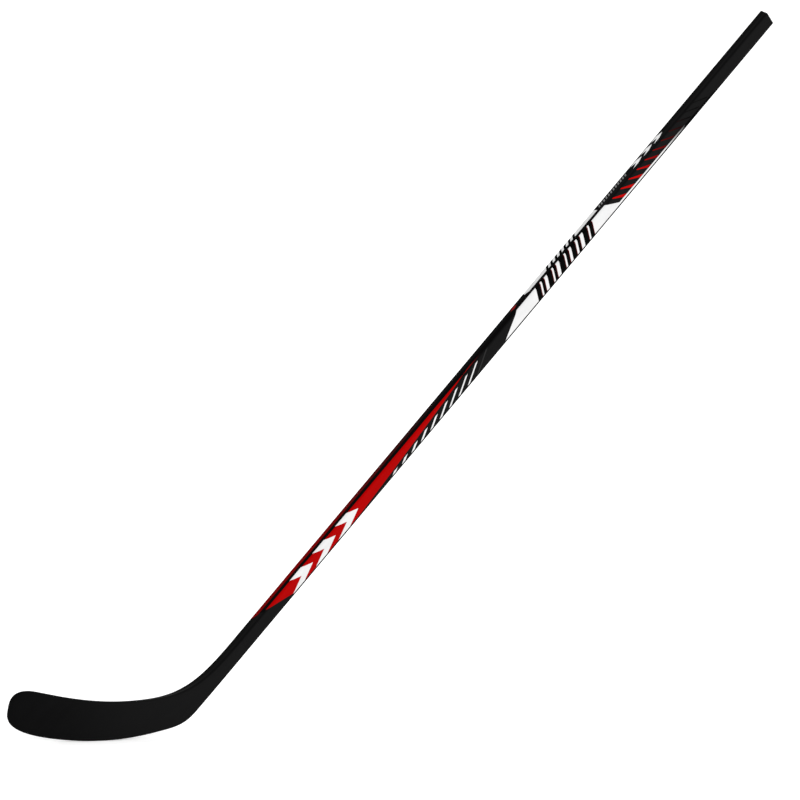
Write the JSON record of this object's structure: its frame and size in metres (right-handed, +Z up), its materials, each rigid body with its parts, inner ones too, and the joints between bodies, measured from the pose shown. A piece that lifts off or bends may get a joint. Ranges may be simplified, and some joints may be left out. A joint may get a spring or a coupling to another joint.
{
  "type": "ice hockey stick",
  "caption": "Left-handed ice hockey stick with a curved composite blade fused to a long, straight, hollow rectangular shaft with a flat butt plug.",
  "frame": {"origin": "middle of the worn flat where the blade's sole touches the ice", "axes": "+Z up from the ice, with the shaft at its lie angle of 46.8 degrees; -X towards the blade's toe, +X under the rising shaft; the blade curves towards +Y, so its backhand face looks towards -Y"},
  "size_m": [1.3694, 0.067, 1.1469],
  "materials": {
    "laminate": "satin black paint over carbon and glass laminate",
    "raw_laminate": "matte, unpainted laminate",
    "foam": "matte closed-cell foam",
    "epoxy": "gloss",
    "plug": "matte moulded plastic"
  },
  "bodies": {
    "root": {"blade_edge_rail": "laminate", "blade_face_backhand": "laminate", "blade_face_forehand": "laminate", "shaft_tube": "laminate", "joint_overwrap": "laminate", "foam_core_toe": "foam", "foam_core_upper": "foam", "foam_core_lower": "foam", "core_rib": "raw_laminate", "hosel_tenon": "raw_laminate", "tenon_adhesive": "epoxy", "butt_plug_glue": "epoxy", "butt_plug": "plug"}
  },
  "joints": []
}
